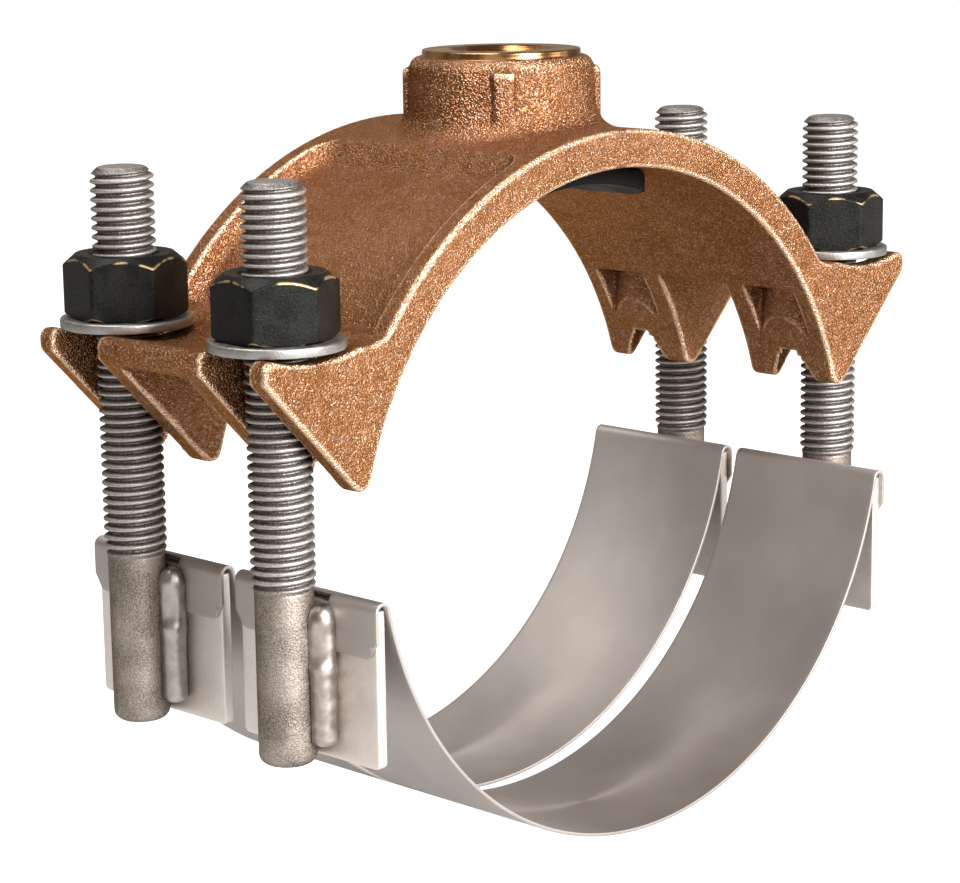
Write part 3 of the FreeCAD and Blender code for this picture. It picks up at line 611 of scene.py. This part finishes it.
lug_steel, shader, place = finish("lug_plate_steel", Metallic=1.0)
stain = place.noise(14.0, 4.0).clear(0.30, 0.75)
fleck = place.noise(0.6, 3.0).clear(0.40, 0.7)
wire(shader, Base_Color=(stain * 0.6 + fleck * 0.4).tint(LUG_DARK, LUG_LIGHT),
     Roughness=0.44 + stain * 0.08 + fleck * 0.06,
     Normal=place.bump(place.noise(1.3, 4.0) + place.noise(6.0, 2.0), 0.05, 0.5))
corners = [(band, f"{band}_{side}", way, end * BAND_Y)
           for band, end in (("front", -1), ("rear", 1))
           for side, way in (("left", -1), ("right", 1))]
for band, corner, way, middle in corners:
    mesh = modified(plate_mesh(corner + "_plate", way, middle),
                    ("EDGE_SPLIT", {"split_angle": math.radians(40)}))
    place_piece(corner + "_plate", mesh, lug_steel, band + "_band", "lug_steel",
                corner + "_lug")

# ---- The studs ----
# Four stainless studs of 5/8 inch, 11 threads to the inch. The rolled thread's crests are
# coloured light, part wear and part painted highlight, and its roots and flanks dark as painted
# shade. The plain shank is pickled grey-brown, and its lower end is rounded.

STUD_X = 107.2
STUD_FOOT = -47.13
STUD_TOP = 94.87
STUD_RIM = STUD_TOP - 0.35
STUD_PITCH = 2.309
STUD_CREST = 7.93
STUD_ROOT = 6.5
STUD_TIP = STUD_CREST - 2.2
STUD_CONE = 1.05
STUD_COLUMNS = 64
STUD_PARTS = 12
SHANK = 7.2
SHANK_TOP = -4.43
SHANK_ROUND = 2.6
SHANK_ROWS = 12
ROUND_PARTS = 9
THREAD_RUN_OUT = 1.3 * STUD_PITCH
THREAD_SHADE_FROM = SHANK_TOP + 0.5
THREAD_SHADE_OVER = 2.0
END_SHADE = 0.62
SHANK_DARK = (0.10, 0.077, 0.061)
SHANK_LIGHT = (0.385, 0.340, 0.300)
THREAD_DARK = (0.060, 0.052, 0.046)
THREAD_LIGHT = (0.48, 0.445, 0.418)


def stud_radius(share, height):
    """The thread, cut off by the cone at the top and easing into the shank at the bottom."""
    thread = STUD_CREST - (STUD_CREST - STUD_ROOT) * thread_depth(share)
    fade = eased(np.clip((height - SHANK_TOP) / THREAD_RUN_OUT, 0, 1))
    cone = STUD_TIP + (STUD_TOP - height) * STUD_CONE
    return np.minimum(SHANK + (thread - SHANK) * fade, cone)


def stud_mesh(name, x, y):
    """The thread's helical rows, a slightly domed top, the shank's rings and its quarter-round
    lower end. Each point also carries how far out on the thread it lies, from 0 in the root
    to 1 on the crest, and whether it is on the thread at all."""
    thread = threaded(SHANK_TOP, STUD_RIM, STUD_PITCH, stud_radius, STUD_COLUMNS, STUD_PARTS)
    top = turned([(float(stud_radius(0.5, STUD_RIM)), STUD_RIM),
                  (STUD_TIP - 0.25, STUD_TOP - 0.12), (STUD_TIP - 0.8, STUD_TOP - 0.02),
                  (STUD_TIP * 0.6, STUD_TOP), (STUD_TIP * 0.25, STUD_TOP), (0, STUD_TOP)],
                 STUD_COLUMNS)
    shank = np.linspace(SHANK_TOP, STUD_FOOT + SHANK_ROUND, SHANK_ROWS)
    up, inwards = (SHANK_ROUND * part[1:] for part in quarter_round(ROUND_PARTS))
    foot = turned(np.concatenate([np.column_stack([0 * shank + SHANK, shank]),
                                  np.column_stack([SHANK - inwards, STUD_FOOT + up]),
                                  [((SHANK - SHANK_ROUND) / 2, STUD_FOOT), (0, STUD_FOOT)]]),
                  STUD_COLUMNS)
    mesh = joined_grids(name, (thread, STUD_PARTS), (top, 0), (foot, 0))
    points = points_of(mesh)
    out, height = np.hypot(points[:, 0], points[:, 1]), points[:, 2]
    on_thread = np.clip((height - THREAD_SHADE_FROM) / THREAD_SHADE_OVER, 0, 1)
    crest = np.clip((out - STUD_ROOT) / (STUD_CREST - STUD_ROOT), 0, 1)
    crest = np.where(height > STUD_TOP - 0.4, END_SHADE, crest)
    store(mesh, "crest", 0.5 + (crest - 0.5) * on_thread)
    store(mesh, "threaded", on_thread)
    move_points(mesh, points + (x, y, 0))
    mesh.shade_smooth()
    return mesh


stud_steel, shader, place = finish("stud_steel_skin", Metallic=1.0,
                                   Specular_Tint=(0.35, 0.31, 0.27, 1))
# The thread is coloured by how far out a point lies: roots and flanks dark as painted shade,
# crests light, part wear and part painted highlight.
worn = place.attribute("crest").clear(0.25, 0.95)
pickle = place.noise(0.36, 2.0, 0.7).clear(0.36, 0.64)
blotch = place.noise(9.0, 3.0).clear(0.30, 0.75)
shank_colour = (pickle * 0.6 + blotch * 0.4).tint(SHANK_DARK, SHANK_LIGHT)
thread_colour = (worn * 0.5 + pickle * 0.5).tint(THREAD_DARK, THREAD_LIGHT)
wire(shader, Base_Color=place.attribute("threaded").tint(shank_colour, thread_colour),
     Roughness=0.50 + pickle * 0.08,
     Normal=place.bump(place.noise(0.5, 3.0), 0.16, 0.9))
for band, corner, way, middle in corners:
    mesh = stud_mesh(corner + "_threaded_stud", way * STUD_X, middle)
    place_piece(corner + "_threaded_stud", mesh, stud_steel, band + "_band", "stud_steel",
                corner + "_stud")

# ---- The welds ----
# Two beads join each stud to its plate, one along each side. The welder started with a splash at
# the flap, left a crater, and drew the rest down as a smooth bar.

WELD_X = 102.9
WELD_SPREAD = 8.4
WELD_RADIUS = 3.65
WELD_TOP = -6.7
WELD_FOOT = -42.4
WELD_ROWS = 97
WELD_COLUMNS = 40
# Along the bead, places and lengths are shares of it, counted from its foot. Across it, sizes
# are shares of its radius.
FOOT_LENGTH = 0.05
HEAD_LENGTH = 0.13
BAR = 0.92
SPLASH_FROM, SPLASH_OVER, SPLASH = 0.44, 0.14, 0.05
RIM_AT, RIM_HALF, RIM = 0.55, 0.030, 0.09
CRATER_AT, CRATER_HALF, CRATER = 0.72, 0.13, 0.26
WAVE_TURNS = (2, 4, 7, 12)
WAVE_LEAST, WAVE_MOST = 0.002, 0.007
WELD_DARK = (0.27, 0.238, 0.212)
WELD_LIGHT = (0.40, 0.365, 0.335)


def bead(way, y, stud_side, seed):
    """A closed bead along Z, as a grid of rings with round ends. A ring's radius is the drawn
    bar's, and more from the splash up, with a rim that stands up at the crater's lower end and
    a few small waves. The crater is a dimple pressed in away from the plate and the stud."""
    length = np.linspace(0, 1, WELD_ROWS)[:, None]
    angle = np.arange(WELD_COLUMNS)[None, :] / WELD_COLUMNS * 2 * math.pi
    height = WELD_FOOT + (WELD_TOP - WELD_FOOT) * length
    foot = np.clip(1 - length / FOOT_LENGTH, 0, 1)
    head = np.clip(1 - (1 - length) / HEAD_LENGTH, 0, 1)
    ends = np.sqrt(1 - foot ** 2) * np.sqrt(1 - head ** 2)
    random = np.random.default_rng(seed)
    wave = sum(random.uniform(WAVE_LEAST, WAVE_MOST)
               * np.cos(length * 2 * math.pi * turns + random.uniform(0, 2 * math.pi))
               for turns in WAVE_TURNS)
    splash = SPLASH * eased(np.clip((length - SPLASH_FROM) / SPLASH_OVER, 0, 1))
    rim = RIM * np.exp(-((length - RIM_AT) / RIM_HALF) ** 2)
    radius = WELD_RADIUS * ends * (BAR + splash + wave + rim)
    away = np.clip(np.cos(angle - math.atan2(-stud_side, 1.0)), 0, 1)
    crater = CRATER * np.exp(-((length - CRATER_AT) / CRATER_HALF) ** 4) * away ** 3
    radius = np.minimum(radius * (1 - crater), WELD_RADIUS)
    return np.stack([way * (WELD_X + radius * np.cos(angle)), y + radius * np.sin(angle),
                     height + 0 * angle], -1)


weld_metal, shader, place = finish("weld_metal_skin", Metallic=1.0)
scale = place.noise(3.0, 3.0).clear(0.30, 0.75)
wire(shader, Base_Color=scale.tint(WELD_DARK, WELD_LIGHT),
     Roughness=0.36 + scale * 0.14,
     Normal=place.bump(place.noise(1.5, 3.0), 0.03, 0.5))
for number, (band, corner, way, middle) in enumerate(corners):
    beads = [(bead(way, middle + side * WELD_SPREAD, -side, 10 * number + side + 1), 0)
             for side in (-1, 1)]
    mesh = joined_grids(corner + "_weld_beads", *beads)
    mesh.shade_smooth()
    place_piece(corner + "_weld_beads", mesh, weld_metal, band + "_band", "weld_metal",
                corner + "_weld")

# ---- The washers ----
# Four flat washers of zinc-plated steel, each loose on its stud between the nut and the pad.
# Stamping has rounded their upper rims, whose lighter colour is part wear and part painted
# highlight, while the rest is dull.

WASHER_FOOT = 55.05
WASHER_TOP = 57.45
WASHER_OUT = 16.65
WASHER_IN = 8.35
WASHER_COLUMNS = 128
WASHER_ROLL = 0.7
ROLL_PARTS = 6
WASHER_FOOT_EDGE = 0.25
HOLE_TOP_EDGE = 0.35
HOLE_FOOT_EDGE = 0.2
EDGE_PARTS = 4
WASHER_TOP_RINGS = (14.5, 12.5, 10.5)
WASHER_FOOT_RINGS = (10.5, 14.0)
RUB_FROM = WASHER_OUT - 1.0
RUB_OVER = 0.6
ZINC_DARK = (0.080, 0.072, 0.064)
ZINC_LIGHT = (0.27, 0.255, 0.235)
ZINC_RUBBED = (0.34, 0.33, 0.315)


def washer_mesh(name, x, y):
    """The ring's section carried round the axis. It runs up the rim, over the top, down the
    hole and back along the foot, and each of its corners is a quarter circle. Each point also
    carries how light its rim is painted, from 0 to 1 near the rim: part wear and part painted
    highlight."""
    late, early = quarter_round(EDGE_PARTS)
    roll_late, roll_early = quarter_round(ROLL_PARTS)
    section = np.concatenate([
        np.column_stack([WASHER_OUT - WASHER_FOOT_EDGE * late,
                         WASHER_FOOT + WASHER_FOOT_EDGE * early]),
        np.column_stack([WASHER_OUT - WASHER_ROLL * roll_early,
                         WASHER_TOP - WASHER_ROLL * roll_late]),
        [(ring, WASHER_TOP) for ring in WASHER_TOP_RINGS],
        np.column_stack([WASHER_IN + HOLE_TOP_EDGE * late, WASHER_TOP - HOLE_TOP_EDGE * early]),
        np.column_stack([WASHER_IN + HOLE_FOOT_EDGE * early,
                         WASHER_FOOT + HOLE_FOOT_EDGE * late]),
        [(ring, WASHER_FOOT) for ring in WASHER_FOOT_RINGS]])
    section = np.concatenate([section, section[:1]])
    mesh = merged(grid_mesh(name, turned(section, WASHER_COLUMNS)))
    points = points_of(mesh)
    out = np.hypot(points[:, 0], points[:, 1])
    store(mesh, "rub", np.clip((out - RUB_FROM) / RUB_OVER, 0, 1))
    move_points(mesh, points + (x, y, 0))
    mesh.shade_smooth()
    return mesh


zinc, shader, place = finish("washer_zinc_skin", Metallic=1.0)
rub = place.attribute("rub")
dull = place.noise(3.0, 4.0).clear(0.35, 0.7)
spangle = place.noise(0.7, 2.0).clear(0.4, 0.7)
plating = (dull * 0.6 + spangle * 0.4).tint(ZINC_DARK, ZINC_LIGHT)
# The rim's lighter colour is part wear and part painted highlight.
wire(shader, Base_Color=(rub * 0.7).tint(plating, ZINC_RUBBED),
     Roughness=0.50 - rub * 0.08 + dull * 0.08,
     Normal=place.bump(place.noise(0.7, 3.0), 0.11, 0.7))
for band, corner, way, middle in corners:
    mesh = washer_mesh(corner + "_flat_washer", way * STUD_X, middle)
    place_piece(corner + "_flat_washer", mesh, zinc, corner + "_washer", "washer_zinc",
                corner + "_washer")

# ---- The nuts ----
# Four heavy hexagon nuts with a black coating. The wrench and the tumbling have taken it off in
# patches along the chamfers' arcs, where the metal shows.

NUT_FOOT = 57.55
NUT_TOP = 73.35
NUT_RISE = NUT_TOP - NUT_FOOT
NUT_HALF = 13.5
NUT_CORNER = 0.12
NUT_COLUMNS = 192
NUT_TOP_FLAT = 12.3
NUT_TOP_SLOPE = 1.15
NUT_TOP_ROWS_FROM = NUT_RISE - 3.2
NUT_FOOT_FLAT = NUT_HALF + 0.55
NUT_FOOT_SLOPE = 1.6
NUT_FOOT_ROWS_TO = 1.6
CONE_BEND = 0.2
ARC_BEND = 0.3
ARC_WEAR_WIDTH = 0.42
CORNER_WEAR_WIDTH = 0.02
CORNER_WEAR = 0.35
NUT_BORE = 7.99
BORE_MOUTH = NUT_BORE + 1.0
COATING_DARK = (0.0016, 0.0016, 0.0011)
COATING_LIGHT = (0.0075, 0.0073, 0.0056)
COATING_BARE = (0.34, 0.24, 0.12)


def softest(first, second, width):
    """The smaller of two values, with the change between them rounded over a width: their mix
    by how far the second lies above the first, less what makes the two ends meet it smoothly."""
    part = np.clip(0.5 + 0.5 * (second - first) / width, 0, 1)
    return second + (first - second) * part - width * part * (1 - part)


def nut_mesh(name, x, y, turn):
    """Rings round the axis, up the side, over the upper face, down the bore and back under the
    nut. On the side, the radius is the least of the hexagon's and of the two chamfers' cones,
    with rounded changes. Each point carries its wear, from 0 to 1 where they meet."""
    angle = np.arange(NUT_COLUMNS) / NUT_COLUMNS * 2 * math.pi
    flat = (angle + math.pi / 6) % (math.pi / 3) - math.pi / 6
    blunt = NUT_HALF / math.cos(math.pi / 6) - NUT_CORNER
    hexagon = softest(NUT_HALF / np.cos(flat), blunt, NUT_CORNER)
    up = np.concatenate([np.linspace(0, NUT_FOOT_ROWS_TO, 11),
                         np.linspace(NUT_FOOT_ROWS_TO, NUT_TOP_ROWS_FROM, 14)[1:],
                         np.linspace(NUT_TOP_ROWS_FROM, NUT_RISE, 24)[1:]])[:, None]
    cone = softest(NUT_TOP_FLAT + (NUT_RISE - up) * NUT_TOP_SLOPE,
                   NUT_FOOT_FLAT + up * NUT_FOOT_SLOPE, CONE_BEND)
    side = softest(hexagon, cone, ARC_BEND)
    arc_wear = np.exp(-((hexagon - cone) / ARC_WEAR_WIDTH) ** 2)
    corner_wear = np.exp(-((np.abs(flat) - math.pi / 6) / CORNER_WEAR_WIDTH) ** 2)
    wear = np.maximum(arc_wear, CORNER_WEAR * corner_wear)
    # Radius, height and wear of the rings that follow the side's.
    inner = np.array([
        (NUT_TOP_FLAT - 0.35, NUT_TOP, 0.5), (NUT_TOP_FLAT - 1.2, NUT_TOP, 0.0),
        (11.0, NUT_TOP, 0.0), (BORE_MOUTH + 0.25, NUT_TOP, 0.1),
        (BORE_MOUTH, NUT_TOP - 0.12, 0.6), (NUT_BORE + 0.1, NUT_TOP - 1.0, 0.0),
        (NUT_BORE, NUT_TOP - 1.3, 0.0), (NUT_BORE, NUT_FOOT + 1.0, 0.0),
        (BORE_MOUTH, NUT_FOOT, 0.0), (11.5, NUT_FOOT, 0.0)])
    radius, height, rub = (
        np.concatenate([outer, 0 * angle + ring[:, None], outer[:1]])
        for outer, ring in zip((side, NUT_FOOT + up + 0 * angle, wear), inner.T))
    around = angle + turn
    points = np.stack([radius * np.cos(around), radius * np.sin(around), height], -1)
    mesh = grid_mesh(name, points + (x, y, 0))
    store(mesh, "rub", rub)
    mesh = merged(mesh)
    mesh.shade_smooth()
    return mesh


black, shader, place = finish("black_coating", Metallic=0.0, Specular_IOR_Level=0.12)
cloud = place.noise(6.0, 3.0)
coat = (cloud * 0.5 + place.noise(0.5, 2.0) * 0.5).clear(0.40, 0.62)
patches = cloud.clear(0.40, 0.60)
bare = (place.attribute("rub") * (patches * 0.85 + 0.15)).clear(0.25, 0.95)
wire(shader, Base_Color=bare.tint(coat.tint(COATING_DARK, COATING_LIGHT), COATING_BARE),
     Roughness=0.40 + coat * 0.10,
     Metallic=bare * 0.9,
     Normal=place.bump(place.noise(0.6, 3.0), 0.16, 0.8))
for band, corner, way, middle in corners:
    # The CAD nut's outermost point is one of its corners, which tells how far it is turned.
    solid = points_of(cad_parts[corner + "_nut"].data) - (way * STUD_X, middle, 0)
    tip = solid[np.argmax(np.hypot(solid[:, 0], solid[:, 1]))]
    mesh = nut_mesh(corner + "_hexagon_nut", way * STUD_X, middle,
                    math.atan2(tip[1], tip[0]) + math.pi / 6)
    place_piece(corner + "_hexagon_nut", mesh, black, corner + "_nut", "nut_black",
                corner + "_nut")

# ---- The studio ----
# A pale floor and surround that the camera sees as white. A soft lamp stands in front, right of
# the camera, a weak one further right and one above. The floor lies as low as the bands reach
# when the nuts are slackened to the studs' ends.

BAND_DROP = 21.0
FLOOR = cad_box[0][2] / MM - BAND_DROP
FLOOR_RINGS = (0, 300, 1200, 12000)
FLOOR_COLUMNS = 96
PAPER = (0.52, 0.52, 0.52, 1)
WARM_LIGHT = (1.0, 0.87, 0.76)
WHITE = (1.0, 1.0, 1.0)

floor_mesh = merged(grid_mesh("floor", turned([(ring, FLOOR) for ring in FLOOR_RINGS],
                                              FLOOR_COLUMNS)))
floor = bpy.data.objects.new("floor", floor_mesh)
bpy.context.scene.collection.objects.link(floor)
paper, shader, place = finish("white_paper", Base_Color=PAPER, Roughness=0.9,
                              Specular_IOR_Level=0.1, Emission_Strength=1.0)
wire(shader, Emission_Color=place.ray("Camera") * 0.90 + place.ray("Glossy") * 0.16)
floor_mesh.materials.append(paper)

world = bpy.data.worlds.new("surround")
bpy.context.scene.world = world
world.use_nodes = True
surround = Flow(world.node_tree)
camera_ray = surround.ray("Camera")
wire(world.node_tree.nodes["Background"], Color=camera_ray.tint(WARM_LIGHT, WHITE),
     Strength=camera_ray * 0.76 + surround.ray("Glossy") * 0.14 + 0.24)


def lamp(name, position, aim, size, power):
    """A soft square lamp at a position, turned towards its aim, with its power in watts."""
    data = bpy.data.lights.new(name, "AREA")
    data.shape = "SQUARE"
    data.size = size * MM
    data.energy = power
    holder = bpy.data.objects.new(name, data)
    bpy.context.scene.collection.objects.link(holder)
    way = np.array(position, dtype=float) - np.array(aim, dtype=float)
    turn = math.atan2(way[1], way[0]) + math.pi / 2
    tilt = math.atan2(np.hypot(way[0], way[1]), way[2])
    holder.matrix_world = (Matrix.Translation([value * MM for value in position])
                           @ Matrix.Rotation(turn, 4, "Z") @ Matrix.Rotation(tilt, 4, "X"))


lamp("front_lamp", position=(-150, -1290, 640), aim=(0, 0, 40), size=640, power=72)
lamp("right_lamp", position=(875, -1094, 380), aim=(0, 0, 30), size=380, power=4)
lamp("top_lamp", position=(-350, 250, 1250), aim=(0, 0, 0), size=600, power=14)

# The camera stands where the catalogue picture was taken from, left of and in front of the
# casting and a little above it. Its angles are degrees, and its lens is for a 36 mm sensor.
CAMERA_PLACE = (-543.57, -520.62, 165.03)
AZIMUTH, ELEVATION, ROLL = (math.radians(angle) for angle in (45.695, 11.473, -0.8165))
LENS = 105.44
SENSOR = 36.0

lens = bpy.data.cameras.new("camera")
lens.sensor_fit = "HORIZONTAL"
lens.sensor_width = SENSOR
lens.lens = LENS
camera = bpy.data.objects.new("camera", lens)
bpy.context.scene.collection.objects.link(camera)
camera.matrix_world = (Matrix.Translation([value * MM for value in CAMERA_PLACE])
                       @ Matrix.Rotation(-AZIMUTH, 4, "Z")
                       @ Matrix.Rotation(math.pi / 2 - ELEVATION, 4, "X")
                       @ Matrix.Rotation(ROLL, 4, "Z"))
bpy.context.scene.camera = camera
bpy.context.scene.view_settings.view_transform = "Standard"
